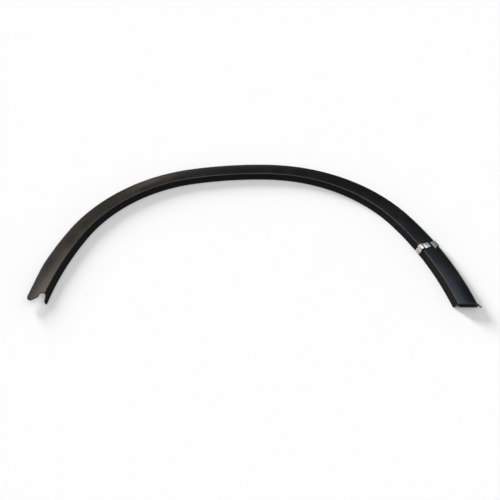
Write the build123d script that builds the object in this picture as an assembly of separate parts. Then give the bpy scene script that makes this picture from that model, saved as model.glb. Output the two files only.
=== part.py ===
from build123d import *
import os
from math import acos, cos, degrees, radians, sin, sqrt, tan

# Wheel arch trim of a car: a thin moulding around the wheel opening, with one spring clip on it.
# It lies on its back edges with the show side up. X runs along the line of the two cut ends,
# Y points to the crown of the arch and Z points away from the car. All sizes are millimetres and degrees.

# Arch line: the crease between face and flange in plan, as five tangent arcs.
# A turn is the angle that an arc covers, counted outwards from the highest point of the crown.
CROWN_HEIGHT = 343.0
CROWN_RADIUS = 610.0
CROWN_LEFT_TURN = 12.5
CROWN_RIGHT_TURN = 1.8
LEFT_SHOULDER_RADIUS = 265.0
LEFT_SHOULDER_TURN = 56.5
LEFT_LIMB_RADIUS = 580.0
RIGHT_SHOULDER_RADIUS = 293.0
RIGHT_SHOULDER_TURN = 57.0
RIGHT_LIMB_RADIUS = 615.0

# Section of the moulding, square to the arch line
WALL = 2.5
FACE_WIDTH = 32.7
FACE_RISE = 0.2
FACE_CROWN = 0.8
RIM_ROUND = 5.0
RIM_LEAN = 0.6
CREASE_HEIGHT = 10.3
CREASE_RADIUS = 1.8
FLANGE_RUN = 7.1
FLANGE_HOLLOW = 0.6
EDGE_LAND = 1.0

# Left end: a straight trim line ends the rim, and a slot sets a finger-shaped tongue free from the flange.
# The tongue's tip is where its side and its slanted end would meet, before that corner is rounded.
TONGUE_TAPER = 100.0
TONGUE_INSET = 4.9
TONGUE_PAST_CUT = 7.1
TONGUE_SLANT = 39.0
TONGUE_RADIUS = 6.3
TONGUE_INNER_RADIUS = 2.5
SLOT_DEPTH = 17.8
SLOT_INSET = 3.0
SLOT_WIDTH = 9.1
SLOT_FLARE = 5.4
FLANGE_TIP_RADIUS = 3.0

# Right end: a closing wall with a relief at each side, and a thin pointed ear that leaves the rim
END_WALL = 2.0
FOOT_RELIEF_RADIUS = 4.5
RIM_RELIEF_RADIUS = 1.5
EAR_START = 15.5
EAR_ROOT = 7.0
EAR_REACH = 7.4
EAR_TIP = 1.5
EAR_THICKNESS = 1.2

# Spring clip: a steel strip around the section, with a hump over the crease and a hook over the rim
CLIP_STATION = 80.5
CLIP_WIDTH = 11.5
CLIP_THICKNESS = 0.8
CLIP_GAP = 0.15
CLIP_SIDE_GAP = 0.4
CLIP_END = 16.7
HUMP_RADIUS = 4.8
HUMP_INSET = 1.85
HOOK_END = 22.9
HOOK_RADIUS = 6.0
HOOK_STANDOFF = 1.6
HOOK_LIP = 3.2
HOOK_LIP_ANGLE = 35.0
HOOK_EAR = 9.9
HOOK_TRIM = 3.8

CLEAR = 50.0


def outward(angle):
    """Direction across the arch line, away from the wheel. Angles count from the crown to the right."""
    return Vector(sin(radians(angle)), cos(radians(angle)), 0)


class Arc:
    """One arc of the arch line, from its left angle to its right angle."""

    def __init__(self, centre, radius, left, right):
        self.centre = centre
        self.radius = radius
        self.left = left
        self.right = right

    def point(self, angle, across=0.0):
        return self.centre + outward(angle) * (self.radius + across)

    def plane(self, angle):
        """Section plane on the crease: its x runs outward and its y runs up."""
        out = outward(angle)
        return Plane(self.point(angle), x_dir=out, z_dir=out.cross(Vector(0, 0, 1)))

    def turned(self, section):
        """The section turned about the arc's centre, over the whole arc."""
        placed = self.plane(self.right) * section
        return revolve(placed, Axis(self.centre, (0, 0, 1)), revolution_arc=self.right - self.left)

    def place(self, side, y, across=0.0):
        """Where a line that lies across from the crease reaches a y: side -1 is left, 1 is right."""
        reach = sqrt((self.radius + across) ** 2 - (y - self.centre.Y) ** 2)
        return Vector(self.centre.X + side * reach, y)


def next_arc(arc, radius, side, turn=None):
    """The tangent arc that follows on one side, -1 left or 1 right. Without a turn it passes the cut."""
    start = arc.right if side > 0 else arc.left
    centre = arc.point(start) - outward(start) * radius
    if turn is None:
        turn = degrees(acos((-CLEAR - centre.Y) / radius)) - abs(start)
    ends = sorted((start, start + side * turn))
    return Arc(centre, radius, *ends)


def arch_arcs():
    """The five arcs of the arch line, from left to right."""
    crown_centre = Vector(0, CROWN_HEIGHT - CROWN_RADIUS, 0)
    crown = Arc(crown_centre, CROWN_RADIUS, -CROWN_LEFT_TURN, CROWN_RIGHT_TURN)
    left_shoulder = next_arc(crown, LEFT_SHOULDER_RADIUS, -1, LEFT_SHOULDER_TURN)
    left_limb = next_arc(left_shoulder, LEFT_LIMB_RADIUS, -1)
    right_shoulder = next_arc(crown, RIGHT_SHOULDER_RADIUS, 1, RIGHT_SHOULDER_TURN)
    right_limb = next_arc(right_shoulder, RIGHT_LIMB_RADIUS, 1)
    return left_limb, left_shoulder, crown, right_shoulder, right_limb


def rounded(area, corners):
    """The area with some of its corners rounded. Each is given by its place and a radius."""
    for place, radius in corners:
        area = fillet(area.vertices().sort_by_distance(place)[0], radius)
    return area


def face_ends():
    """The two ends of the face in the section, before their edges are rounded."""
    return Vector(0, CREASE_HEIGHT), Vector(FACE_WIDTH - RIM_LEAN, CREASE_HEIGHT + FACE_RISE)


def face_level(across):
    """Height of the face, which is one flat arc between its two ends."""
    crease, corner = face_ends()
    chord = corner - crease
    radius = ((chord.length / 2) ** 2 + FACE_CROWN ** 2) / (2 * FACE_CROWN)
    centre = (crease + corner) * 0.5 + Vector(chord.Y, -chord.X).normalized() * (radius - FACE_CROWN)
    return centre.Y + sqrt(radius ** 2 - (across - centre.X) ** 2)


def skin_area():
    """Area under the show surface, drawn on past the back edges so that its inset stays open there."""
    skirt = -2 * WALL
    crease, corner = face_ends()
    rim = Vector(FACE_WIDTH, EDGE_LAND)
    foot = Vector(-FLANGE_RUN, EDGE_LAND)
    outline = [
        Line((-FLANGE_RUN, skirt), foot),
        SagittaArc(foot, crease, -FLANGE_HOLLOW),
        SagittaArc(crease, corner, FACE_CROWN),
        Line(corner, rim),
        Line(rim, (FACE_WIDTH, skirt)),
        Line((FACE_WIDTH, skirt), (-FLANGE_RUN, skirt)),
    ]
    return rounded(make_face(outline), ((crease, CREASE_RADIUS), (corner, RIM_ROUND)))


def above(level):
    """Half plane of the section above a level."""
    return Pos(0, level) * Rectangle(4 * CLEAR, CLEAR, align=(Align.CENTER, Align.MIN))


def prism(sketch):
    """Upright cutter through the whole height, from an outline in plan."""
    return extrude(Pos(0, 0, -CLEAR) * sketch, 2 * CLEAR)


def tongue_cut(limb):
    """Cutter for the left end: it ends the rim, shapes the tongue and opens the slot by the flange."""
    crease_x = limb.place(-1, 0).X
    tip = limb.place(-1, 0, FACE_WIDTH) + Vector(TONGUE_INSET, -TONGUE_PAST_CUT)
    past_rim = tip + (limb.place(-1, TONGUE_TAPER, FACE_WIDTH) - tip) * 1.3
    slot_right = Vector(crease_x + SLOT_INSET, SLOT_DEPTH)
    slot_left = Vector(slot_right.X - SLOT_WIDTH, SLOT_DEPTH)
    slant = tan(radians(TONGUE_SLANT))
    flare = SLOT_FLARE / SLOT_DEPTH
    inner_y = (tip.Y + slant * (slot_left.X - SLOT_FLARE - tip.X)) / (1 - slant * flare)
    inner = Vector(slot_left.X - SLOT_FLARE + flare * inner_y, inner_y)
    flange_tip = Vector(slot_right.X, 0)
    far_left = tip.X - CLEAR
    far_right = crease_x + CLEAR
    outline = make_face(Polyline(
        (far_left, past_rim.Y), past_rim, tip, inner, slot_left, slot_right, flange_tip,
        (far_right, 0), (far_right, -CLEAR), (far_left, -CLEAR), close=True))
    slot_radius = 0.49 * SLOT_WIDTH
    return prism(rounded(outline, (
        (tip, TONGUE_RADIUS), (inner, TONGUE_INNER_RADIUS), (slot_left, slot_radius),
        (slot_right, slot_radius), (flange_tip, FLANGE_TIP_RADIUS))))


def right_end(limb, hollow):
    """The closing wall in the hollow of the right end, and the ear that leaves its rim."""
    crease = limb.place(1, 0)
    rim = limb.place(1, 0, FACE_WIDTH)
    slab = Box(4 * CLEAR, END_WALL, 2 * CLEAR, align=(Align.CENTER, Align.MIN, Align.CENTER))
    wall = limb.turned(hollow) & Pos(crease.X, 0) * slab
    rim_relief_x = rim.X - WALL - RIM_RELIEF_RADIUS
    for x, radius in ((crease.X, FOOT_RELIEF_RADIUS), (rim_relief_x, RIM_RELIEF_RADIUS)):
        wall -= Pos(x, 0) * Rot(90, 0, 0) * Cylinder(radius, 2 * CLEAR)
    start = limb.place(1, EAR_START, FACE_WIDTH)
    root = limb.place(1, EAR_ROOT, FACE_WIDTH)
    tip = rim + Vector(EAR_REACH, 0)
    into_skin = Vector(WALL / 2, 0)
    ear = make_face(Polyline(
        start, tip, tip - Vector(EAR_TIP, 0), root, root - into_skin, start - into_skin, close=True))
    return wall, extrude(ear, EAR_THICKNESS)


def arch_moulding(arcs, clip_plane):
    """The moulding: a hollow section turned along the arcs, cut at both ends and notched for the clip."""
    skin = skin_area()
    core = offset(skin, -WALL)
    section = (skin - core) & above(0)
    hollow = core & above(0)
    body = Part() + [arc.turned(section) for arc in arcs]
    body = split(body, bisect_by=Plane.ZX, keep=Keep.TOP)
    wall, ear = right_end(arcs[-1], hollow)
    body = body - tongue_cut(arcs[0]) + wall + ear
    notch = Box(4 * CLEAR, 2 * clip_bed(), CLIP_WIDTH + 2 * CLIP_SIDE_GAP)
    return body - clip_plane * notch


def clip_bed():
    """Level of the notches in rim and foot, where the back of the clip passes clear of the ground."""
    return CLIP_THICKNESS + 2 * CLIP_GAP


def clip_outlines():
    """The clip seen along the moulding: the strip around flange and back, and the hook over the rim."""
    hook_x = FACE_WIDTH + HOOK_STANDOFF - HOOK_RADIUS
    held = skin_area() + Pos(HUMP_INSET, CREASE_HEIGHT - HUMP_INSET) * Circle(HUMP_RADIUS)
    held += Pos(hook_x, face_level(hook_x) - HOOK_RADIUS) * Circle(HOOK_RADIUS)
    held &= above(clip_bed())
    ring = offset(held, CLIP_GAP + CLIP_THICKNESS) - offset(held, CLIP_GAP)
    mouth = Pos(CLIP_END, clip_bed()) * Rectangle(HOOK_END - CLIP_END, CLEAR, align=Align.MIN)
    hook_side = Pos(HOOK_END, clip_bed()) * Rectangle(CLEAR, CLEAR, align=Align.MIN)
    bend = Pos(HOOK_END, face_level(HOOK_END) + CLIP_GAP + CLIP_THICKNESS / 2)
    lip = bend * Rot(0, 0, -HOOK_LIP_ANGLE) * Rectangle(
        HOOK_LIP, CLIP_THICKNESS, align=(Align.MAX, Align.CENTER))
    lip += bend * Circle(CLIP_THICKNESS / 2)
    return ring - mouth - hook_side, (ring & hook_side) + lip


def spring_clip(clip_plane):
    """The clip: a strip bent around the section, whose hook widens to one side towards its flared lip."""
    strip, hook = clip_outlines()
    half = CLIP_WIDTH / 2
    hook_tip = HOOK_END - 2 * HOOK_LIP
    past_rim = FACE_WIDTH + CLEAR
    hook_plan = make_face(Polyline(
        (hook_tip, half - HOOK_TRIM), (FACE_WIDTH, half), (past_rim, half), (past_rim, -half),
        (FACE_WIDTH, -half), (hook_tip, -half - HOOK_EAR), close=True))
    plan = Plane(clip_plane.origin, x_dir=clip_plane.x_dir, z_dir=(0, 0, 1))
    hook_body = extrude(clip_plane * hook, half + HOOK_EAR, both=True)
    hook_body &= extrude(plan * hook_plan, CLEAR)
    return extrude(clip_plane * strip, half, both=True) + hook_body


def main():
    os.makedirs("parts", exist_ok=True)
    arcs = arch_arcs()
    limb = arcs[-1]
    clip_plane = limb.plane(limb.left + degrees(CLIP_STATION / limb.radius))
    pieces = {"arch_moulding": arch_moulding(arcs, clip_plane), "spring_clip": spring_clip(clip_plane)}
    box = pieces["arch_moulding"].bounding_box().add(pieces["spring_clip"].bounding_box())
    to_origin = Pos(-box.center().X, -box.center().Y, -box.min.Z)
    for name, piece in pieces.items():
        export_step(to_origin * piece, f"parts/{name}.step")
    print("size", box.size, "moved by", to_origin.position)


main()
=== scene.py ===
# %% [markdown]
# # Wheel arch trim
# A wheel arch trim is a long thin moulding of black plastic that follows the edge of a car's wheel opening.
# This one lies on its back edges with the show side up, and one spring clip of bright steel is still on it.
# The lesson draws the arch line and the section first, sweeps one along the other, shapes the two ends,
# bends the clip from a strip, and then lights the result and sets a camera on it.

# %% [markdown]
# ## The frame
# The solids come from a imported model that fixes every size and place. Nothing in it is moved here.
# The box of that model is kept, because the finished pieces have to fill the same space.

# %% Load the imported frame
from collections import namedtuple
from math import acos, asin, atan2, ceil, cos, degrees, pi, radians, sin, sqrt, tan

import bmesh
import bpy
from mathutils import Matrix, Vector
from mathutils.geometry import intersect_line_line_2d, intersect_line_sphere_2d, intersect_sphere_sphere_2d


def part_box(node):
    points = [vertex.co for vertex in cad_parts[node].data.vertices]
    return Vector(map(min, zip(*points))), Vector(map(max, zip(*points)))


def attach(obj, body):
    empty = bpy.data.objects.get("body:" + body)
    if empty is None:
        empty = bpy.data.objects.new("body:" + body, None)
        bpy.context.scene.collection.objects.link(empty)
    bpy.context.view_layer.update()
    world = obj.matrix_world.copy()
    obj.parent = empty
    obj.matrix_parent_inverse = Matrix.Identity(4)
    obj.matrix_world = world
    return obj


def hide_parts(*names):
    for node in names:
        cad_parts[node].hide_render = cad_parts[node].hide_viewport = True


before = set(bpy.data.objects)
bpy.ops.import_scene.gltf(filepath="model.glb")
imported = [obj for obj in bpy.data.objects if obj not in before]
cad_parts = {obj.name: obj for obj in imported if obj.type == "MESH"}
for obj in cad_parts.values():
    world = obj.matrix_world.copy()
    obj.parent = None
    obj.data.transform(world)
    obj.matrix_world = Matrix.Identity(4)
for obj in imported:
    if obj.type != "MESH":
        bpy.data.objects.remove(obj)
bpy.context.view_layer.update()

MM = 0.001
scene = bpy.context.scene
print("frame nodes:", sorted(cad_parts))

# %% [markdown]
# ## The arch line
# A stylist draws such an opening from a few arcs that meet without a kink. Five are enough here:
# a flat crown, two tighter shoulders and two long limbs.
# The line is the crease between face and flange, seen in plan.
# Points could be traced by hand, but arcs keep the curve fair and give the direction across it at any place.
# Angles are counted from the top of the crown, positive to the right. The ends are cut along y = 0.

# %% Five tangent arcs
CROWN_HEIGHT = 343.0 * MM
CROWN_RADIUS = 610.0 * MM
CROWN_LEFT_TURN = radians(12.5)
CROWN_RIGHT_TURN = radians(1.8)
LEFT_SHOULDER_RADIUS = 265.0 * MM
LEFT_SHOULDER_TURN = radians(56.5)
LEFT_LIMB_RADIUS = 580.0 * MM
RIGHT_SHOULDER_RADIUS = 293.0 * MM
RIGHT_SHOULDER_TURN = radians(57.0)
RIGHT_LIMB_RADIUS = 615.0 * MM

Arc = namedtuple("Arc", "centre radius start end")


def outward(angle):
    """Direction across the arch line, away from the wheel."""
    return Vector((sin(angle), cos(angle)))


def follow(arc, angle, radius, end=None):
    """The arc that goes on from another at an angle. Without an end it runs on to the cut."""
    centre = arc.centre + outward(angle) * (arc.radius - radius)
    if end is None:
        end = acos(-centre.y / radius) * (1 if angle > 0 else -1)
    return Arc(centre, radius, angle, end)


crown = Arc(Vector((0, CROWN_HEIGHT - CROWN_RADIUS)), CROWN_RADIUS, -CROWN_LEFT_TURN, CROWN_RIGHT_TURN)
left_shoulder = follow(crown, crown.start, LEFT_SHOULDER_RADIUS, crown.start - LEFT_SHOULDER_TURN)
left_limb = follow(left_shoulder, left_shoulder.end, LEFT_LIMB_RADIUS)
right_shoulder = follow(crown, crown.end, RIGHT_SHOULDER_RADIUS, crown.end + RIGHT_SHOULDER_TURN)
right_limb = follow(right_shoulder, right_shoulder.end, RIGHT_LIMB_RADIUS)
arcs = (left_limb, left_shoulder, crown, right_shoulder, right_limb)
print("arc ends, degrees:", [round(degrees(arc.end), 1) for arc in arcs])

# %% [markdown]
# The arcs are walked from left to right in small steps.
# Bezier handles only come near an arc, while short straight steps stay on it and are easy to check.

# %% Walk the arcs
ARCH_STEP = 1.0 * MM


def walk(arc, start, end):
    """Points of an arc between two of its angles, without the last one."""
    steps = ceil(abs(end - start) * arc.radius / ARCH_STEP)
    angles = [start + (end - start) * step / steps for step in range(steps)]
    return [arc.centre + outward(angle) * arc.radius for angle in angles]


crease_line = walk(left_limb, left_limb.end, left_limb.start)
crease_line += walk(left_shoulder, left_shoulder.end, left_shoulder.start)
crease_line += walk(crown, crown.start, crown.end)
crease_line += walk(right_shoulder, right_shoulder.start, right_shoulder.end)
crease_line += walk(right_limb, right_limb.start, right_limb.end)
crease_line.append(right_limb.centre + outward(right_limb.end) * right_limb.radius)
print("crease line:", len(crease_line), "points")

# %% [markdown]
# The points become one curve object, which the sweep can follow.
# Two helpers make it, since section and clip need a curve each as well, and all the rest needs objects.

# %% Draw the arch line as a curve
def new_object(name, data):
    """An object with its data, put into the scene."""
    made = bpy.data.objects.new(name, data)
    scene.collection.objects.link(made)
    return made


def line_object(name, points, closed=False):
    """A straight-segment curve object through some points."""
    curve = bpy.data.curves.new(name, "CURVE")
    curve.dimensions = "3D"
    spline = curve.splines.new("POLY")
    spline.points.add(len(points) - 1)
    for place, point in zip(spline.points, points):
        place.co = (*point, 1)
    spline.use_cyclic_u = closed
    return new_object(name, curve)


arch_line = line_object("arch_line", [point.to_3d() for point in crease_line])
print("curve object:", arch_line.name)

# %% [markdown]
# ## The section
# Cut through, the moulding is a skin of even wall: a hollow flange towards the wheel, a rounded crease,
# a nearly flat face, a round rim, and a short upright land at each back edge.
# Flange and face are flat arcs. Two ends and the height of the bulge between them say all about such an arc.

# %% Arcs of flange and face
FACE_WIDTH = 32.7 * MM
FACE_RISE = 0.2 * MM
FACE_CROWN = 0.8 * MM
RIM_LEAN = 0.6 * MM
CREASE_HEIGHT = 10.3 * MM
FLANGE_RUN = 7.1 * MM
FLANGE_HOLLOW = 0.6 * MM
EDGE_LAND = 1.0 * MM

Circle = namedtuple("Circle", "centre radius")


def turned_right(direction):
    """A direction in the section, turned a quarter to the right."""
    return Vector((direction.y, -direction.x))


def bulging(start, end, bulge):
    """The circle through two points. Its arc bulges to the right of the way, with a minus to the left."""
    half = (end - start).length / 2
    radius = (half ** 2 + bulge ** 2) / (2 * bulge)
    centre = (start + end) / 2 + turned_right((end - start).normalized()) * (bulge - radius)
    return Circle(centre, abs(radius))


foot = Vector((-FLANGE_RUN, EDGE_LAND))
crease = Vector((0, CREASE_HEIGHT))
corner = Vector((FACE_WIDTH - RIM_LEAN, CREASE_HEIGHT + FACE_RISE))
rim = Vector((FACE_WIDTH, EDGE_LAND))
flange = bulging(foot, crease, FLANGE_HOLLOW)
face = bulging(crease, corner, -FACE_CROWN)
print("arc radii, mm: flange", round(flange.radius / MM, 1), "face", round(face.radius / MM, 1))

# %% [markdown]
# Both edges of the face are rounded by circles that touch their two neighbours without a kink.
# The centre of such a circle lies its radius away from both, so it is where two moved lines cross.
# Chamfering by eye would do for a drawing, but a kink of one degree shows in a satin reflection.

# %% Circles that round the crease and the rim
CREASE_RADIUS = 1.8 * MM
RIM_ROUND = 5.0 * MM


def nearest(place, points):
    """The point of a few that lies nearest to a place."""
    return min(points, key=lambda point: (point - place).length)


def touching(circle, centre):
    """Where a circle is touched by another one with a given centre."""
    return circle.centre + (centre - circle.centre).normalized() * circle.radius


crease_centre = nearest(crease, intersect_sphere_sphere_2d(
    flange.centre, flange.radius + CREASE_RADIUS, face.centre, face.radius - CREASE_RADIUS))
into_rim = turned_right((rim - corner).normalized()) * RIM_ROUND
rim_centre = nearest(corner, intersect_line_sphere_2d(
    corner + into_rim, rim + into_rim, face.centre, face.radius - RIM_ROUND, False))
flange_end, face_start = touching(flange, crease_centre), touching(face, crease_centre)
face_end, rim_start = touching(face, rim_centre), rim_centre - into_rim
print("flat part of the face:", round((face_end.x - face_start.x) / MM, 1), "mm")

# %% [markdown]
# The outer line goes from the foot over crease and face to the rim, one arc after the other.
# Every arc leaves out its last point, because the next one starts there.

# %% Outer line
FLANGE_STEPS = 8
CREASE_STEPS = 6
FACE_STEPS = 12
RIM_STEPS = 10


def arc_between(centre, start, end, steps):
    """Points of the shorter arc about a centre from one point to another, without the last one."""
    first, last = (start - centre).normalized(), (end - centre).normalized()
    radius = (start - centre).length
    return [centre + first.slerp(last, step / steps) * radius for step in range(steps)]


flange_line = arc_between(flange.centre, foot, flange_end, FLANGE_STEPS)
crease_round = arc_between(crease_centre, flange_end, face_start, CREASE_STEPS)
face_line = arc_between(face.centre, face_start, face_end, FACE_STEPS)
rim_line = [*arc_between(rim_centre, face_end, rim_start, RIM_STEPS), rim_start, rim]
outer_line = flange_line + crease_round + face_line + rim_line
print("outer line:", len(outer_line), "points")

# %% [markdown]
# The inner line runs one wall beside the outer one.
# It starts from a sharp crease, because the hollow behind it is sharp.
# Inner corners are mitred, and outer corners, which only the clip has, are rounded, as a bent strip is.

# %% Inner line
WALL = 2.5 * MM
SHARP_TURN = radians(10)
ROUND_STEPS = 8


def beside(line, distance):
    """A line that runs a distance to the right of another."""
    ways = [(after - before).normalized() for before, after in zip(line, line[1:])]
    moved = []
    for point, came, goes in zip(line, [ways[0], *ways], [*ways, ways[-1]]):
        first, last = turned_right(came), turned_right(goes)
        if came.angle_signed(goes) < -SHARP_TURN:
            turns = [first.slerp(last, step / ROUND_STEPS) for step in range(ROUND_STEPS + 1)]
            moved += [point + turn * distance for turn in turns]
        else:
            mitre = (first + last).normalized()
            moved.append(point + mitre * (distance / mitre.dot(first)))
    return moved


def above(line, level):
    """The part of a line above a level, with both its ends on that level."""
    kept = [place for place, point in enumerate(line) if point.y > level]
    ends = [(line[kept[0]], line[kept[0] - 1]), (line[kept[-1]], line[kept[-1] + 1])]
    first, last = [high.lerp(low, (high.y - level) / (high.y - low.y)) for high, low in ends]
    return [first, *line[kept[0]:kept[-1] + 1], last]


skirt = Vector((0, -2 * WALL))
sharp_line = [foot + skirt, *arc_between(flange.centre, foot, crease, FLANGE_STEPS),
              *arc_between(face.centre, crease, face_end, FACE_STEPS), *rim_line, rim + skirt]
inner_line = above(beside(sharp_line, WALL), 0)
print("hollow:", round((inner_line[-1].x - inner_line[0].x) / MM, 1), "mm wide at the back")

# %% [markdown]
# Outer and inner line close to one ring. Its four corners on the ground get a small radius,
# since no moulded edge is sharp. They are rounded from the last to the first,
# so that the earlier places in the list stay valid.
# The ring starts at the foot, so that lengths along it are easy to name later.

# %% Close the section
LAND_ROUND = 0.3 * MM
LAND_STEPS = 2


def rounded(line, place, radius, steps):
    """The line with the corner at one place in its list replaced by an arc."""
    tip = line[place]
    back = (line[place - 1] - tip).normalized()
    on = (line[(place + 1) % len(line)] - tip).normalized()
    half = back.angle(on) / 2
    centre = tip + (back + on).normalized() * (radius / sin(half))
    start, end = [tip + way * (radius / tan(half)) for way in (back, on)]
    return line[:place] + arc_between(centre, start, end, steps) + [end] + line[place + 1:]


ring = outer_line + [Vector((rim.x, 0)), *inner_line[::-1], Vector((foot.x, 0))]
inner_end = len(outer_line) + len(inner_line)
for place in (inner_end + 1, inner_end, len(outer_line) + 1, len(outer_line)):
    ring = rounded(ring, place, LAND_ROUND, LAND_STEPS)
# The sweep lays X on the side of the wheel and Y downwards, so both are entered with a minus.
section = line_object("section", [(-across, -up, 0) for across, up in ring], closed=True)
print("section:", len(ring), "points")

# %% [markdown]
# ## Finishes of the plastic
# The plastic is black through and through, so its finish is all in how it takes light.
# The face is satin: nearly smooth, with a faint unevenness from the mould that breaks up reflections.
# The flange and the back have a fine grain that scatters light. Both come from one node group
# that gives a fine grain and a slow mottle, and each material decides how strongly to use them.

# %% A shared group for all moulded surfaces
def new_group(name, kind, inputs, outputs):
    """An empty node group with named sockets, and its two ends."""
    made = bpy.data.node_groups.new(name, kind)
    for way, sockets in (("INPUT", inputs), ("OUTPUT", outputs)):
        for label, holds in sockets:
            made.interface.new_socket(label, in_out=way, socket_type="NodeSocket" + holds)
    return made, made.nodes.new("NodeGroupInput"), made.nodes.new("NodeGroupOutput")


mould_grain, grain_in, grain_out = new_group(
    "mould_grain", "ShaderNodeTree",
    [("Place", "Vector"), ("Grain Size", "Float"), ("Mottle Size", "Float")],
    [("Grain", "Float"), ("Mottle", "Float")])
print("shader group:", mould_grain.name, [socket.name for socket in mould_grain.interface.items_tree])

# %% [markdown]
# Inside the group are two noises. Their sizes come in metres, and a Math node turns each into a scale.
# By hand, nodes are dragged and linked in the editor. A script makes each one and gives its inputs
# a value or a link, and that repeats so often that two helpers take it up.

# %% Grain and mottle
GRAIN_DETAIL = 2.0
MOTTLE_DETAIL = 3.0


def feed(tree, node, inputs):
    """Give inputs of a node a value each, or link them with a socket of another node."""
    for label, source in inputs.items():
        if isinstance(source, bpy.types.NodeSocket):
            tree.links.new(source, node.inputs[label])
        else:
            node.inputs[label].default_value = source


def new_node(tree, kind, inputs, **settings):
    """A new node with its settings and its inputs."""
    node = tree.nodes.new(kind)
    for name, setting in settings.items():
        setattr(node, name, setting)
    feed(tree, node, inputs)
    return node


for label, detail in (("Grain", GRAIN_DETAIL), ("Mottle", MOTTLE_DETAIL)):
    lump_size = grain_in.outputs[label + " Size"]
    scale = new_node(mould_grain, "ShaderNodeMath", {0: 1.0, 1: lump_size}, operation="DIVIDE")
    lumps = new_node(mould_grain, "ShaderNodeTexNoise", {
        "Vector": grain_in.outputs["Place"], "Scale": scale.outputs[0], "Detail": detail})
    feed(mould_grain, grain_out, {label: lumps.outputs["Fac"]})
print("nodes in the group:", len(mould_grain.nodes))

# %% [markdown]
# A noise stays near its middle level most of the time, so it has to be spread before a shader can use it.
# Map Range does that for a value such as the roughness, and a Color Ramp does it for a colour.

# %% From noise to value and colour
NOISE_LOW = 0.3
NOISE_HIGH = 0.7
TONE_STOPS = (0.35, 0.65)


def ranged(tree, source, low, high):
    """A value spread evenly between a low and a high one."""
    spread = new_node(tree, "ShaderNodeMapRange", {
        "Value": source, "From Min": NOISE_LOW, "From Max": NOISE_HIGH, "To Min": low, "To Max": high})
    return spread.outputs["Result"]


def two_tones(tree, source, dark, light):
    """A colour between two tones."""
    ramp = new_node(tree, "ShaderNodeValToRGB", {"Fac": source})
    for stop, place, colour in zip(ramp.color_ramp.elements, TONE_STOPS, (dark, light)):
        stop.position = place
        stop.color = (*colour, 1)
    return ramp.outputs["Color"]


print("noise is spread from", NOISE_LOW, "to", NOISE_HIGH, "and tones from", *TONE_STOPS)

# %% [markdown]
# A function makes one plastic material from its values. The mottle moves the colour between two near-blacks
# and the roughness between two levels, and the grain goes to a Bump node with its real depth in metres.
# A gloss that is the same all over is set on the shader itself.

# %% Plastic materials
DEEP_BLACK = (0.003, 0.003, 0.003)
SOFT_BLACK = (0.005, 0.005, 0.005)
BACK_BLACK = (0.006, 0.006, 0.006)


def material_with_shader(name):
    """A new material, its tree and its Principled shader."""
    material = bpy.data.materials.new(name)
    material.use_nodes = True
    return material, material.node_tree, material.node_tree.nodes["Principled BSDF"]


def plastic(name, dark, light, roughness, gloss, grain_size, grain_depth, mottle_size):
    """Black moulded plastic with a grain of a given size and depth."""
    material, tree, shader = material_with_shader(name)
    place = tree.nodes.new("ShaderNodeTexCoord").outputs["Object"]
    grain = new_node(tree, "ShaderNodeGroup", {
        "Place": place, "Grain Size": grain_size, "Mottle Size": mottle_size}, node_tree=mould_grain)
    bump = new_node(tree, "ShaderNodeBump", {"Height": grain.outputs["Grain"], "Distance": grain_depth})
    mottle = grain.outputs["Mottle"]
    feed(tree, shader, {
        "Normal": bump.outputs["Normal"], "Specular IOR Level": gloss,
        "Base Color": two_tones(tree, mottle, dark, light), "Roughness": ranged(tree, mottle, *roughness)})
    return material


face_satin = plastic("face_satin", DEEP_BLACK, SOFT_BLACK, roughness=(0.22, 0.28), gloss=0.5,
                     grain_size=1.4 * MM, grain_depth=0.022 * MM, mottle_size=30 * MM)
flange_grain = plastic("flange_grain", DEEP_BLACK, SOFT_BLACK, roughness=(0.46, 0.56), gloss=0.14,
                       grain_size=0.9 * MM, grain_depth=0.05 * MM, mottle_size=9 * MM)
back_plain = plastic("back_plain", DEEP_BLACK, BACK_BLACK, roughness=(0.48, 0.58), gloss=0.1,
                     grain_size=2.5 * MM, grain_depth=0.02 * MM, mottle_size=40 * MM)
print("plastic materials:", [material.name for material in (face_satin, flange_grain, back_plain)])

# %% [markdown]
# ## The sweep
# The moulding follows a rule, one section along one line, so Geometry Nodes make it.
# A sweep by hand would have to be done again after every change of a size, while a tree just runs again.
# The two curves, a station spacing, two lengths and three finishes are its inputs.

# %% An empty tree for the sweep
sweep, sweep_in, sweep_out = new_group(
    "moulding_sweep", "GeometryNodeTree",
    [("Arch Line", "Object"), ("Section", "Object"), ("Station Spacing", "Float"),
     ("Flange Length", "Float"), ("Skin Length", "Float"),
     ("Face Finish", "Material"), ("Flange Finish", "Material"), ("Back Finish", "Material")],
    [("Geometry", "Geometry")])
print("inputs of the sweep:", [socket.name for socket in sweep_in.outputs if socket.name])

# %% [markdown]
# The first half of the tree sets stations along the arch line and carries the section from one to the next.
# It also remembers on each point how far round the section it lies.
# That distance tells face, flange and back apart later.

# %% Carry the section along the line
def shape_of(tree, handed_in):
    """The geometry of an object that is handed in."""
    return new_node(tree, "GeometryNodeObjectInfo", {"Object": handed_in}).outputs["Geometry"]


stations = new_node(sweep, "GeometryNodeResampleCurve", {
    "Curve": shape_of(sweep, sweep_in.outputs["Arch Line"]),
    "Length": sweep_in.outputs["Station Spacing"]}, mode="LENGTH")
way_round = sweep.nodes.new("GeometryNodeSplineParameter").outputs["Length"]
around = new_node(sweep, "GeometryNodeStoreNamedAttribute", {
    "Geometry": shape_of(sweep, sweep_in.outputs["Section"]), "Name": "around", "Value": way_round})
tube = new_node(sweep, "GeometryNodeCurveToMesh", {
    "Curve": stations.outputs["Curve"], "Profile Curve": around.outputs["Geometry"], "Fill Caps": True})
print("sweep tree:", len(sweep.nodes), "nodes so far")

# %% [markdown]
# The second half of the tree lays the finishes on. The face goes on everywhere first,
# then the flange on all that lies before the crease and the back on all that lies past the rim.
# Painting the faces by hand would do as well, but it would be lost with the next run of the tree.

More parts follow.
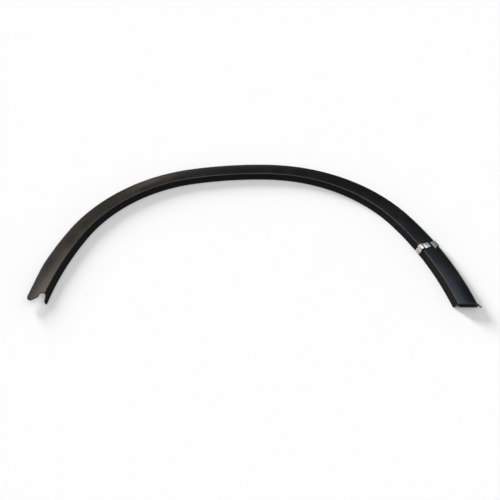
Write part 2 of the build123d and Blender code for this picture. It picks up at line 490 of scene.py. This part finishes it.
# %% Lay on the finishes
def finished(tree, geometry, material, selection=True):
    """The geometry with a material on it, or on a part of it."""
    finish = new_node(tree, "GeometryNodeSetMaterial", {
        "Geometry": geometry, "Material": material, "Selection": selection})
    return finish.outputs["Geometry"]


def compared(tree, operation, value, limit):
    """True where a value is less or greater than a limit."""
    compare = new_node(tree, "FunctionNodeCompare", {"A": value, "B": limit}, operation=operation)
    return compare.outputs["Result"]


distance = new_node(sweep, "GeometryNodeInputNamedAttribute", {"Name": "around"}).outputs["Attribute"]
on_flange = compared(sweep, "LESS_THAN", distance, sweep_in.outputs["Flange Length"])
on_back = compared(sweep, "GREATER_THAN", distance, sweep_in.outputs["Skin Length"])
realized = new_node(sweep, "GeometryNodeRealizeInstances", {"Geometry": tube.outputs["Mesh"]})
dressed = finished(sweep, realized.outputs["Geometry"], sweep_in.outputs["Face Finish"])
dressed = finished(sweep, dressed, sweep_in.outputs["Flange Finish"], on_flange)
dressed = finished(sweep, dressed, sweep_in.outputs["Back Finish"], on_back)
feed(sweep, sweep_out, {"Geometry": dressed})
print("sweep tree:", len(sweep.nodes), "nodes in all")

# %% [markdown]
# The finishes change at two lengths round the section, both measured on its own lines.
# The round of the crease belongs to the face:
# its satin draws the fine bright line that parts face and flange.
# The flange's length gets a hair more, so that its last row of faces is surely inside.

# %% Where the finishes change
HAIR = 0.1 * MM


def length_of(line):
    """Length of a line of points."""
    return sum((after - before).length for before, after in zip(line, line[1:]))


flange_length = length_of([*flange_line, flange_end]) + HAIR
skin_length = length_of(outer_line) + EDGE_LAND
print("flange ends at", round(flange_length / MM, 1), "mm, show side at", round(skin_length / MM, 1), "mm")

# %% [markdown]
# The tree runs as a modifier on an empty mesh object. A modifier knows its inputs only by identifiers,
# so each value is found by the name of its socket and set by the identifier.
# The result is made a plain mesh at once, because the next steps move and cut it.

# %% Run the sweep
STATION_SPACING = 4.0 * MM


def settled(piece):
    """The piece with its modifiers worked into its mesh."""
    seen = piece.evaluated_get(bpy.context.evaluated_depsgraph_get())
    mesh = bpy.data.meshes.new_from_object(seen, preserve_all_data_layers=True,
                                           depsgraph=bpy.context.evaluated_depsgraph_get())
    piece.modifiers.clear()
    piece.data = mesh
    mesh.name = piece.name
    return piece


def run_tree(name, tree, values):
    """A plain mesh object made by a tree, with its inputs given by name."""
    piece = new_object(name, bpy.data.meshes.new(name))
    modifier = piece.modifiers.new(tree.name, "NODES")
    modifier.node_group = tree
    for socket in tree.interface.items_tree:
        if socket.in_out == "INPUT":
            modifier[socket.identifier] = values[socket.name]
    return settled(piece)


moulding = run_tree("arch_trim_moulding", sweep, {
    "Arch Line": arch_line, "Section": section, "Station Spacing": STATION_SPACING,
    "Flange Length": flange_length, "Skin Length": skin_length,
    "Face Finish": face_satin, "Flange Finish": flange_grain, "Back Finish": back_plain})
print("moulding:", len(moulding.data.polygons), "faces in", len(moulding.data.materials), "finishes")

# %% [markdown]
# ## The ends
# Every station of the sweep stands square to the arch line, but both ends are cut straight, along y = 0.
# So the stations of each limb are fanned: every point is turned about the limb's centre,
# more and more towards the end, until the last station lies in the cut.
# That leaves clean faces, which a cutter would not.

# %% Fan the limbs to the straight cut
def fan(piece, limb):
    """Turn the points of a limb so that its last station lies on y = 0."""
    side = 1 if limb.end > 0 else -1
    for vertex in piece.data.vertices:
        arm = vertex.co.xy - limb.centre
        share = (atan2(arm.x, arm.y) - limb.start) / (limb.end - limb.start)
        if share > 0:
            cut = side * acos(-limb.centre.y / arm.length)
            turned = limb.centre + outward(limb.start + share * (cut - limb.start)) * arm.length
            vertex.co = turned.to_3d() + Vector((0, 0, vertex.co.z))


for limb in (left_limb, right_limb):
    fan(moulding, limb)
print("lowest y, mm:", round(min(vertex.co.y for vertex in moulding.data.vertices) / MM, 3))

# %% [markdown]
# At the left a straight trim line ends the rim, and a slot beside the flange leaves a finger-shaped tongue.
# Such tongues usually tuck under the next panel. All of that is one outline in plan,
# so a single upright cutter does it. The corners of that outline come first.

# %% Corners of the left end
TONGUE_TAPER = 100.0 * MM
TONGUE_INSET = 4.9 * MM
TONGUE_PAST_CUT = 7.1 * MM
TONGUE_SLANT = radians(39.0)
SLOT_DEPTH = 17.8 * MM
SLOT_INSET = 3.0 * MM
SLOT_WIDTH = 9.1 * MM
SLOT_FLARE = 5.4 * MM
TRIM_OVERSHOOT = 1.3
CLEAR = 50.0 * MM


def at_y(limb, y, across=0.0):
    """Where a line that lies across from the crease reaches a y in plan."""
    reach = sqrt((limb.radius + across) ** 2 - (y - limb.centre.y) ** 2)
    return Vector((limb.centre.x + (reach if limb.end > 0 else -reach), y))


tip = at_y(left_limb, 0, FACE_WIDTH) + Vector((TONGUE_INSET, -TONGUE_PAST_CUT))
past_rim = tip.lerp(at_y(left_limb, TONGUE_TAPER, FACE_WIDTH), TRIM_OVERSHOOT)
slot_right = at_y(left_limb, 0) + Vector((SLOT_INSET, SLOT_DEPTH))
slot_left = slot_right - Vector((SLOT_WIDTH, 0))
tongue_end = (tip, tip + Vector((cos(TONGUE_SLANT), sin(TONGUE_SLANT))) * CLEAR)
slot_side = (slot_left, slot_left - Vector((SLOT_FLARE, SLOT_DEPTH)))
tongue_inner = intersect_line_line_2d(*tongue_end, *slot_side)
print("tongue:", round((tongue_inner - tip).length / MM, 1), "mm wide at its end")

# %% [markdown]
# Each corner is listed with its radius, and with 0 where it lies outside the moulding.
# A Bevel modifier rounds all corners alike, so each is rounded here by itself,
# again from the last to the first.
# The slot's two rounds are just under half its width, so that they fit side by side.

# %% Outline of what the left end loses
TONGUE_RADIUS = 6.3 * MM
TONGUE_INNER_RADIUS = 2.5 * MM
SLOT_RADIUS = 0.49 * SLOT_WIDTH
FLANGE_TIP_RADIUS = 3.0 * MM

flange_tip = Vector((slot_right.x, -HAIR))
past_tip = flange_tip + Vector((2 * FLANGE_TIP_RADIUS, 0))
corners = [(Vector((tip.x - CLEAR, past_rim.y)), 0), (past_rim, 0), (tip, TONGUE_RADIUS),
           (tongue_inner, TONGUE_INNER_RADIUS), (slot_left, SLOT_RADIUS), (slot_right, SLOT_RADIUS),
           (flange_tip, FLANGE_TIP_RADIUS), (past_tip, 0),
           (Vector((past_tip.x, -CLEAR)), 0), (Vector((tip.x - CLEAR, -CLEAR)), 0)]
lost = [point for point, radius in corners]
for place, (point, radius) in reversed(list(enumerate(corners))):
    if radius:
        lost = rounded(lost, place, radius, ROUND_STEPS)
print("cut outline:", len(lost), "points")

# %% [markdown]
# At the right the hollow is closed by a thin wall.
# Its outline is the inner line again, moved a little into the skin, so that the two really overlap.
# It stands a hair behind the cut, because faces that lie in one plane are hard to join.

# %% Wall of the right end
END_WALL = 2.0 * MM
WALL_BITE = 0.6 * MM


def prism(name, base, rise):
    """A closed prism of plain plastic from a flat outline of 3D points and the way it is pushed."""
    shape = bmesh.new()
    bottom = shape.faces.new([shape.verts.new(point) for point in base])
    pushed = bmesh.ops.extrude_face_region(shape, geom=[bottom], use_keep_orig=True)["geom"]
    tops = [item for item in pushed if isinstance(item, bmesh.types.BMVert)]
    bmesh.ops.translate(shape, verts=tops, vec=rise)
    bmesh.ops.recalc_face_normals(shape, faces=shape.faces)
    mesh = bpy.data.meshes.new(name)
    shape.to_mesh(mesh)
    shape.free()
    mesh.materials.append(back_plain)
    return new_object(name, mesh)


wall_line = above(beside(sharp_line, WALL - WALL_BITE), HAIR)
wall_base = [(at_y(right_limb, 0, across).x, HAIR, up) for across, up in wall_line]
limb_way = Vector((-cos(right_limb.end), sin(right_limb.end), 0)) / sin(right_limb.end)
end_wall = prism("end_wall", wall_base, limb_way * END_WALL)
print("end wall:", len(wall_line), "points round it")

# %% [markdown]
# The wall has a half-round relief at each side, a large one at the foot and a small one at the rim.
# A round bar on the ground, half below it, cuts each of them.

# %% Reliefs in the wall
FOOT_RELIEF_RADIUS = 4.5 * MM
RIM_RELIEF_RADIUS = 1.5 * MM
BAR_SIDES = 32


def round_bar(name, x, radius):
    """A bar along Y on the ground, for a half-round relief in the wall."""
    angles = [2 * pi * step / BAR_SIDES for step in range(BAR_SIDES)]
    circle = [(x + radius * cos(angle), -END_WALL, radius * sin(angle)) for angle in angles]
    return prism(name, circle, Vector((0, 3 * END_WALL, 0)))


rim_end = at_y(right_limb, 0, FACE_WIDTH)
foot_relief = round_bar("foot_relief", at_y(right_limb, 0).x, FOOT_RELIEF_RADIUS)
rim_relief = round_bar("rim_relief", rim_end.x - WALL - RIM_RELIEF_RADIUS, RIM_RELIEF_RADIUS)
print("reliefs:", [bar.name for bar in (foot_relief, rim_relief)])

# %% [markdown]
# A thin pointed ear leaves the rim just before the right end.
# It could be pulled out of the rim's own faces, but a flat prism that is joined on keeps the sweep regular.
# Its root lies inside the skin, as the wall's edge does.

# %% Ear of the right end
EAR_START = 15.5 * MM
EAR_ROOT = 7.0 * MM
EAR_REACH = 7.4 * MM
EAR_TIP = 1.5 * MM
EAR_THICKNESS = 1.2 * MM

ear_tip = rim_end + Vector((EAR_REACH, 0))
ear_start, ear_root = at_y(right_limb, EAR_START, FACE_WIDTH), at_y(right_limb, EAR_ROOT, FACE_WIDTH)
into_skin = Vector((WALL / 2, 0))
ear_line = [ear_start, ear_tip, ear_tip - Vector((EAR_TIP, 0)), ear_root, ear_root - into_skin,
            ear_start - into_skin]
ear = prism("ear", [(x, y, HAIR) for x, y in ear_line], Vector((0, 0, EAR_THICKNESS - HAIR)))
print("ear reaches", round(EAR_REACH / MM, 1), "mm past the rim")

# %% [markdown]
# The clip needs a bed: rim and foot are notched where its back run passes, so the trim still lies flat.
# A plane across the moulding at the clip's station places that notch, and later the clip itself.

# %% Bed of the clip
CLIP_STATION = 80.5 * MM
CLIP_WIDTH = 11.5 * MM
CLIP_THICKNESS = 0.8 * MM
CLIP_GAP = 0.15 * MM
CLIP_SIDE_GAP = 0.4 * MM
CLIP_BED = CLIP_THICKNESS + 2 * CLIP_GAP

clip_angle = right_limb.start + CLIP_STATION / right_limb.radius
clip_out = outward(clip_angle).to_3d()
clip_side = Vector((0, 0, 1)).cross(clip_out)
clip_origin = (right_limb.centre + outward(clip_angle) * right_limb.radius).to_3d()


def in_clip_plane(across, up, sideways=0.0):
    """A place given across the moulding, above the ground and along the moulding."""
    return clip_origin + clip_out * across + clip_side * sideways + Vector((0, 0, up))


bed_half = CLIP_WIDTH / 2 + CLIP_SIDE_GAP
bed_sides = [in_clip_plane(across, -CLEAR, side) for across, side in
             ((-CLEAR, -bed_half), (CLEAR, -bed_half), (CLEAR, bed_half), (-CLEAR, bed_half))]
bed = prism("clip_bed", bed_sides, Vector((0, 0, CLEAR + CLIP_BED)))
print("clip station:", round(degrees(clip_angle), 1), "degrees from the crown")

# %% [markdown]
# Boolean modifiers do the cutting and joining. Each tool hands its own finish to the faces that it leaves.
# The end wall gets its reliefs first, while it is still a piece by itself.
# Cut afterwards, the bars could bite into the skin beside the wall too.

# %% Cut the reliefs
def carve(piece, tool, operation):
    """A Boolean step, left to be worked in with the others."""
    step = piece.modifiers.new(tool.name, "BOOLEAN")
    step.object = tool
    step.operation = operation
    step.solver = "EXACT"
    step.material_mode = "TRANSFER"


for relief in (foot_relief, rim_relief):
    carve(end_wall, relief, "DIFFERENCE")
settled(end_wall)
print("end wall with reliefs:", len(end_wall.data.polygons), "faces")

# %% [markdown]
# Now the left end is cut off, wall and ear are joined on, and the bed is cut, in one go.
# Booleans leave sliver faces beside the cuts, which are merged away at once.
# The tools are removed when they have done their work, so that only the moulding is left.

# %% Cut and join
SLIVER = 0.05 * MM


def cleaned(piece):
    """The piece without slivers and with its closed skin turned outwards. Gives the number of open edges."""
    shape = bmesh.new()
    shape.from_mesh(piece.data)
    bmesh.ops.remove_doubles(shape, verts=shape.verts, dist=SLIVER)
    bmesh.ops.dissolve_degenerate(shape, edges=shape.edges, dist=SLIVER)
    bmesh.ops.recalc_face_normals(shape, faces=shape.faces)
    open_edges = sum(not edge.is_manifold for edge in shape.edges)
    shape.to_mesh(piece.data)
    shape.free()
    return open_edges


left_end = prism("left_end", [(x, y, -CLEAR) for x, y in lost], Vector((0, 0, 2 * CLEAR)))
cleaned(moulding)
for tool, operation in ((left_end, "DIFFERENCE"), (end_wall, "UNION"), (ear, "UNION"), (bed, "DIFFERENCE")):
    carve(moulding, tool, operation)
settled(moulding)
for tool in (left_end, end_wall, foot_relief, rim_relief, ear, bed, arch_line, section):
    bpy.data.objects.remove(tool)
print("open edges after cutting:", cleaned(moulding))

# %% [markdown]
# Where the show side meets an upright cut, the edge gets a small round that catches the light.
# A Bevel modifier would go by angle and take others too, so edges are picked by how their faces lie.
# Points that crowd each other along such an edge are merged first, because a bevel would tangle there.

# %% Round the show edges
EDGE_ROUND = 0.25 * MM
EDGE_SEGMENTS = 2
CROWDED = 0.45 * MM
UPRIGHT = 0.02
SHOWN = 0.25


def show_edges(shape):
    """Edges where the show side meets an upright face."""
    found = []
    for edge in shape.edges:
        levels = sorted(side.normal.z for side in edge.link_faces)
        if len(levels) == 2 and abs(levels[0]) < UPRIGHT and levels[1] > SHOWN:
            found.append(edge)
    return found


def softened(piece):
    """The piece with its show edges rounded. Gives how many they were."""
    shape = bmesh.new()
    shape.from_mesh(piece.data)
    crowd = {vertex for edge in show_edges(shape) for vertex in edge.verts}
    bmesh.ops.remove_doubles(shape, verts=list(crowd), dist=CROWDED)
    edges = show_edges(shape)
    bmesh.ops.bevel(shape, geom=edges, offset=EDGE_ROUND, segments=EDGE_SEGMENTS,
                    profile=0.5, affect="EDGES")
    shape.to_mesh(piece.data)
    shape.free()
    return len(edges)


print("show edges rounded:", softened(moulding), "faces:", len(moulding.data.polygons))

# %% [markdown]
# All faces are shaded smooth, and only edges with a strong turn stay sharp.
# The cuts leave long thin faces beside the broad ones, and plain smoothing would tilt the light there.
# A Weighted Normal modifier lets the broad faces decide.

# %% Shade the moulding
EDGE_ANGLE = radians(35)


def shaded(piece):
    """Shade a piece smooth up to its sharp edges. Gives how many those are."""
    for side in piece.data.polygons:
        side.use_smooth = True
    piece.data.set_sharp_from_angle(angle=EDGE_ANGLE)
    return sum(edge.use_edge_sharp for edge in piece.data.edges)


print("sharp edges of the moulding:", shaded(moulding))
fair_light = moulding.modifiers.new("fair_light", "WEIGHTED_NORMAL")
fair_light.keep_sharp = True
settled(moulding)

# %% [markdown]
# ## The spring clip
# The clip is one strip of spring steel that goes round the whole section. It starts on the face,
# humps over the crease, runs down the flange, under the back, up round the rim at a distance,
# and ends in a hook with a flared lip.
# Its middle line is the section's own line, moved out by half a strip and a hair of clearance.

# %% Line that the clip holds
CLIP_END = 16.7 * MM
HOOK_END = 22.9 * MM
HOOK_RADIUS = 6.0 * MM
HOOK_STANDOFF = 1.6 * MM
TAB_STEPS = 6
HELD_FLANGE_STEPS = 12
HOOK_STEPS = 14
HOOK_TOP_STEPS = 4


def on_face(across):
    """The point of the face at a distance across from the crease."""
    return Vector((across, face.centre.y + sqrt(face.radius ** 2 - (across - face.centre.x) ** 2)))


to_middle = CLIP_GAP + CLIP_THICKNESS / 2
hook_top = on_face(FACE_WIDTH + HOOK_STANDOFF - HOOK_RADIUS)
hook_centre = hook_top - Vector((0, HOOK_RADIUS))
hook_foot = Vector((hook_top.x + sqrt(HOOK_RADIUS ** 2 - (hook_centre.y - CLIP_BED) ** 2), CLIP_BED))
held_flange = arc_between(flange.centre, crease, foot, HELD_FLANGE_STEPS)
held = arc_between(face.centre, on_face(CLIP_END), crease, TAB_STEPS)
held += [point for point in held_flange if point.y > CLIP_BED]
held += [Vector((-FLANGE_RUN, CLIP_BED)), *arc_between(hook_centre, hook_foot, hook_top, HOOK_STEPS)]
held += [*arc_between(face.centre, hook_top, on_face(HOOK_END), HOOK_TOP_STEPS), on_face(HOOK_END)]
middle = beside(held, to_middle)
print("held line:", len(held), "points,", round(length_of(held) / MM, 1), "mm")

# %% [markdown]
# Over the crease the strip stands off in a hump. It is an arc of one circle,
# and it takes the place of all points of the middle line that lie inside that circle.
# The lip at the other end is a short straight run that rises from the face.

# %% Hump and lip
HUMP_RADIUS = 4.8 * MM
HUMP_INSET = 1.85 * MM
HUMP_STEPS = 12
HOOK_LIP = 3.2 * MM
HOOK_LIP_ANGLE = radians(35.0)

hump_centre = Vector((HUMP_INSET, CREASE_HEIGHT - HUMP_INSET))
hump_radius = HUMP_RADIUS + to_middle
under_hump = [place for place, point in enumerate(middle) if (point - hump_centre).length < hump_radius]
hump_circle = Circle(hump_centre, hump_radius)
hump_start = touching(hump_circle, middle[under_hump[0] - 1])
hump_end = touching(hump_circle, middle[under_hump[-1] + 1])
hump_top = hump_centre + Vector((-1, 1)).normalized() * hump_radius
hump = arc_between(hump_centre, hump_start, hump_top, HUMP_STEPS)
hump += [*arc_between(hump_centre, hump_top, hump_end, HUMP_STEPS), hump_end]
bend_points = middle[:under_hump[0]] + hump + middle[under_hump[-1] + 1:]
lip_way = Vector((-cos(HOOK_LIP_ANGLE), sin(HOOK_LIP_ANGLE)))
bend_points.append(bend_points[-1] + lip_way * HOOK_LIP)
bend_line = line_object("bend_line", [in_clip_plane(*point) for point in bend_points])
print("bend line:", len(bend_points), "points,", round(length_of(bend_points) / MM, 1), "mm of strip")

# %% [markdown]
# The steel is bright with fine rolling streaks along the strip. They vary only across its width,
# so a noise that is stretched along the other two directions follows every bend. An image of brushed metal
# would need the strip unrolled first.

# %% Spring steel
STREAK_LENGTH = 40.0 * MM
STREAK_WIDTH = 0.5 * MM
STREAK_DEPTH = 0.002 * MM
STREAK_DETAIL = 3.0
DULL_STEEL = (0.53, 0.525, 0.50)
BRIGHT_STEEL = (0.61, 0.605, 0.575)
STEEL_ROUGHNESS = (0.36, 0.46)


def steel(name, turn):
    """Bright rolled steel with streaks along a direction in plan."""
    material, tree, shader = material_with_shader(name)
    place = tree.nodes.new("ShaderNodeTexCoord").outputs["Object"]
    aligned = new_node(tree, "ShaderNodeMapping", {
        "Vector": place, "Rotation": (0, 0, turn),
        "Scale": (STREAK_LENGTH, STREAK_WIDTH, STREAK_LENGTH)}, vector_type="TEXTURE")
    noise = new_node(tree, "ShaderNodeTexNoise", {
        "Vector": aligned.outputs["Vector"], "Scale": 1.0, "Detail": STREAK_DETAIL})
    streaks = noise.outputs["Fac"]
    bump = new_node(tree, "ShaderNodeBump", {"Height": streaks, "Distance": STREAK_DEPTH})
    feed(tree, shader, {
        "Metallic": 1.0, "Normal": bump.outputs["Normal"],
        "Base Color": two_tones(tree, streaks, DULL_STEEL, BRIGHT_STEEL),
        "Roughness": ranged(tree, streaks, *STEEL_ROUGHNESS)})
    return material


strip_turn = atan2(clip_out.y, clip_out.x)
spring_steel = steel("spring_steel", strip_turn)
print("steel streaks run at", round(degrees(strip_turn), 1), "degrees in plan")

# %% [markdown]
# The strip is sheared from sheet and its edges are tumbled round, so its own section is a rounded rectangle.
# A second small tree builds that from width, thickness and edge radius, and sweeps it along the bend line.

# %% Sweep the strip
STRIP_EDGE = 0.2 * MM
STRIP_EDGE_STEPS = 3

strip, strip_in, strip_out = new_group(
    "bent_strip", "GeometryNodeTree",
    [("Bend Line", "Object"), ("Width", "Float"), ("Thickness", "Float"), ("Edge Radius", "Float"),
     ("Finish", "Material")],
    [("Geometry", "Geometry")])
blank = new_node(strip, "GeometryNodeCurvePrimitiveQuadrilateral", {
    "Width": strip_in.outputs["Width"], "Height": strip_in.outputs["Thickness"]})
tumbled = new_node(strip, "GeometryNodeFilletCurve", {
    "Curve": blank.outputs["Curve"], "Radius": strip_in.outputs["Edge Radius"],
    "Count": STRIP_EDGE_STEPS}, mode="POLY")
bent = new_node(strip, "GeometryNodeCurveToMesh", {
    "Curve": shape_of(strip, strip_in.outputs["Bend Line"]),
    "Profile Curve": tumbled.outputs["Curve"], "Fill Caps": True})
whole = new_node(strip, "GeometryNodeRealizeInstances", {"Geometry": bent.outputs["Mesh"]})
bright = finished(strip, whole.outputs["Geometry"], strip_in.outputs["Finish"])
feed(strip, strip_out, {"Geometry": bright})
clip = run_tree("spring_clip_strip", strip, {
    "Bend Line": bend_line, "Width": CLIP_WIDTH, "Thickness": CLIP_THICKNESS, "Edge Radius": STRIP_EDGE,
    "Finish": spring_steel})
bpy.data.objects.remove(bend_line)
print("clip strip:", len(clip.data.polygons), "faces")

# %% [markdown]
# The hook is wider than the strip and skewed to one side. The straight strip is stretched there,
# more and more towards the lip, which is what the press tool's blank looks like.

# %% Spread the hook
HOOK_EAR = 9.9 * MM
HOOK_TRIM = 3.8 * MM

hook_tip = HOOK_END - 2 * HOOK_LIP
half_strip = CLIP_WIDTH / 2
for vertex in clip.data.vertices:
    local = vertex.co - clip_origin
    across, side = local.dot(clip_out), local.dot(clip_side)
    if local.z > CLIP_BED and across > (CLIP_END + HOOK_END) / 2:
        share = max(0, (FACE_WIDTH - across) / (FACE_WIDTH - hook_tip))
        grown = half_strip - HOOK_TRIM * share if side > 0 else half_strip + HOOK_EAR * share
        vertex.co += clip_side * (side * (grown / half_strip - 1))
print("clip open edges:", cleaned(clip), "sharp edges:", shaded(clip))

# %% [markdown]
# ## In place
# Both pieces were drawn with the end cut on y = 0. The box of the imported moulding says where they belong.
# Then each piece is tied to the body it rides on, and the solid that it stands for is hidden.

# %% Place the pieces and tie them to the frame
def lowest(piece):
    """Lowest corner of a piece's mesh."""
    return Vector([min(vertex.co[axis] for vertex in piece.data.vertices) for axis in range(3)])


to_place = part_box("arch_moulding")[0] - lowest(moulding)
to_place.z = 0
for piece, node, slot in ((moulding, "arch_moulding", "black_plastic"),
                          (clip, "spring_clip", "spring_steel")):
    piece.data.transform(Matrix.Translation(to_place))
    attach(piece, "root")
    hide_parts(node)
    gaps = lowest(piece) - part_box(node)[0]
    print(piece.name, "off its solid's corner by, mm:", [round(gap / MM, 2) for gap in gaps])

# %% [markdown]
# ## Floor, light and camera
# The trim lies on a sheet of white paper, which is plain and diffuse,
# so that it shows nothing but the shadow. Its white stays a little under full, as that of real paper does.
# A sheet that curves up behind would do as well, but from above a flat one shows the same.

# %% Floor
FLOOR_HALF = 6.0
FLOOR_DROP = 0.2 * MM
PAPER_WHITE = 0.95

floor_mesh = bpy.data.meshes.new("floor")
sheet_corners = ((-1, -1), (1, -1), (1, 1), (-1, 1))
floor_corners = [(x * FLOOR_HALF, y * FLOOR_HALF, -FLOOR_DROP) for x, y in sheet_corners]
floor_mesh.from_pydata(floor_corners, [], [(0, 1, 2, 3)])
floor = new_object("floor", floor_mesh)
paper, paper_tree, paper_shader = material_with_shader("white_paper")
feed(paper_tree, paper_shader, {
    "Base Color": (PAPER_WHITE, PAPER_WHITE, PAPER_WHITE, 1), "Roughness": 1.0, "Specular IOR Level": 0.0})
floor_mesh.materials.append(paper)
print("floor:", 2 * FLOOR_HALF, "m square")

# %% [markdown]
# Black satin shows its form only by what it mirrors, so shadow and reflections want different lamps.
# Two broad suns light the paper, and neither is mirrored. The key comes from low behind the left end
# and throws a soft shadow to the right and to the front. The fill comes from overhead and thins that shadow.

# %% Key and fill
def broad_sun(name, comes_from, breadth, strength):
    """A sun lamp of some breadth that gives plain light and is never mirrored."""
    lamp = bpy.data.lights.new(name, "SUN")
    lamp.energy = strength
    lamp.angle = breadth
    sun = new_object(name, lamp)
    sun.location = comes_from
    sun.rotation_euler = Vector(comes_from).to_track_quat("Z", "Y").to_euler()
    sun.visible_glossy = False


broad_sun("key", comes_from=(-0.8, 1.1, 0.3), breadth=radians(14), strength=5.6)
broad_sun("fill", comes_from=(0.0, 0.0, 1.0), breadth=radians(160), strength=1.76)

# %% [markdown]
# The cards are area lamps that are only mirrored.
# A warm and a cool one hang overhead, with a neutral one between them for the crease,
# and two weak ones beside the warm card carry the light on
# over the outer half of the left limb and its tongue.
# One stands low at the left for the right-hand flange and the clip,
# and two far back light the outer half of the crown.

# %% Reflection cards
WARM = (1.0, 0.87, 0.73)
AMBER = (1.0, 0.78, 0.52)
DUSK = (1.0, 0.86, 0.70)
CREAM = (1.0, 0.98, 0.96)
NEUTRAL = (1.0, 1.0, 1.0)
DAYLIGHT = (0.90, 0.95, 1.05)
COOL = (0.68, 0.90, 1.15)
BLUE = (0.70, 0.95, 1.35)


def card(name, place, aim, size, radiance, colour):
    """A lamp of a given brightness that looks at a point and shows in reflections only."""
    width, height = size
    lamp = bpy.data.lights.new(name, "AREA")
    lamp.shape = "RECTANGLE"
    lamp.size = width
    lamp.size_y = height
    lamp.energy = radiance * pi * width * height
    lamp.color = colour
    box = new_object(name, lamp)
    box.location = place
    box.rotation_euler = (Vector(aim) - Vector(place)).to_track_quat("-Z", "Y").to_euler()
    box.visible_diffuse = False


card("warm_card", (-0.60, 0.40, 1.3), aim=(-0.60, 0.40, 0), size=(0.75, 1.0), radiance=5.0, colour=WARM)
card("corner_card", (-1.25, 1.58, 1.3), aim=(-0.25, 0, 0), size=(0.7, 0.5), radiance=0.65, colour=AMBER)
card("tongue_card", (-1.40, 0.95, 1.3), aim=(-0.35, -0.15, 0), size=(0.6, 0.6), radiance=0.7, colour=BLUE)
card("cool_card", (0.46, 0.38, 1.3), aim=(0.46, 0.38, 0), size=(0.62, 1.0), radiance=2.05, colour=COOL)
card("top_card", (-0.03, 0.05, 1.5), aim=(-0.03, 0.05, 0), size=(0.38, 1.8), radiance=2.5, colour=NEUTRAL)
card("left_card", (-1.50, 1.1, 0.34), aim=(0.2, 0.0, 0.05), size=(0.7, 0.4), radiance=3.6, colour=DAYLIGHT)
card("back_card", (-0.25, 2.4, 1.15), aim=(0.0, 0.0, 0.0), size=(0.9, 0.3), radiance=1.0, colour=CREAM)
card("window_card", (-0.77, 2.25, 1.60), aim=(-0.2, 0.1, 0.0), size=(0.26, 0.5), radiance=2.3, colour=DUSK)

# %% [markdown]
# The studio around is a low white backdrop and nearly dark above it, so that no horizon shows in a low view,
# and the satin has something dark to mirror between the cards.
# In a world, the Generated output is the direction of a ray,
# and its Z is the sine of the angle above the floor.

# %% World
BACKDROP_TOP = radians(7)
BACKDROP_FADE = radians(8)
BACKDROP_WHITE = 0.97
STUDIO_GREY = 0.06

world = bpy.data.worlds.new("studio")
world.use_nodes = True
scene.world = world
sky = world.node_tree
looking = sky.nodes.new("ShaderNodeTexCoord").outputs["Generated"]
axes = new_node(sky, "ShaderNodeSeparateXYZ", {"Vector": looking})
fade = new_node(sky, "ShaderNodeMapRange", {
    "Value": axes.outputs["Z"], "From Min": sin(BACKDROP_TOP), "From Max": sin(BACKDROP_TOP + BACKDROP_FADE),
    "To Min": BACKDROP_WHITE, "To Max": STUDIO_GREY})
feed(sky, sky.nodes["Background"], {"Color": fade.outputs["Result"]})
print("world nodes:", [node.name for node in sky.nodes])

# %% [markdown]
# The camera stands where the reference view was taken from: in front of the ends,
# looking down at about 45 degrees, and turned a little about its own axis.

# %% Camera
CAMERA_PLACE = Vector((42.0, -892.7, 839.7)) * MM
CAMERA_AIM = Vector((-6.7, -55.2, 0.0)) * MM
CAMERA_ROLL = radians(-2.13)
CAMERA_LENS = 46.8
SENSOR_WIDTH = 36.0

ahead = (CAMERA_AIM - CAMERA_PLACE).normalized()
level_right = ahead.cross(Vector((0, 0, 1))).normalized()
level_up = level_right.cross(ahead)
right = level_right * cos(CAMERA_ROLL) + level_up * sin(CAMERA_ROLL)
up = level_up * cos(CAMERA_ROLL) - level_right * sin(CAMERA_ROLL)
lens = bpy.data.cameras.new("camera")
lens.lens = CAMERA_LENS
lens.sensor_width = SENSOR_WIDTH
camera = new_object("camera", lens)
camera.matrix_world = Matrix.Translation(CAMERA_PLACE) @ Matrix((right, up, -ahead)).transposed().to_4x4()
scene.camera = camera
scene.view_settings.view_transform = "Standard"
print("camera elevation:", round(degrees(asin(-ahead.z)), 1), "degrees")
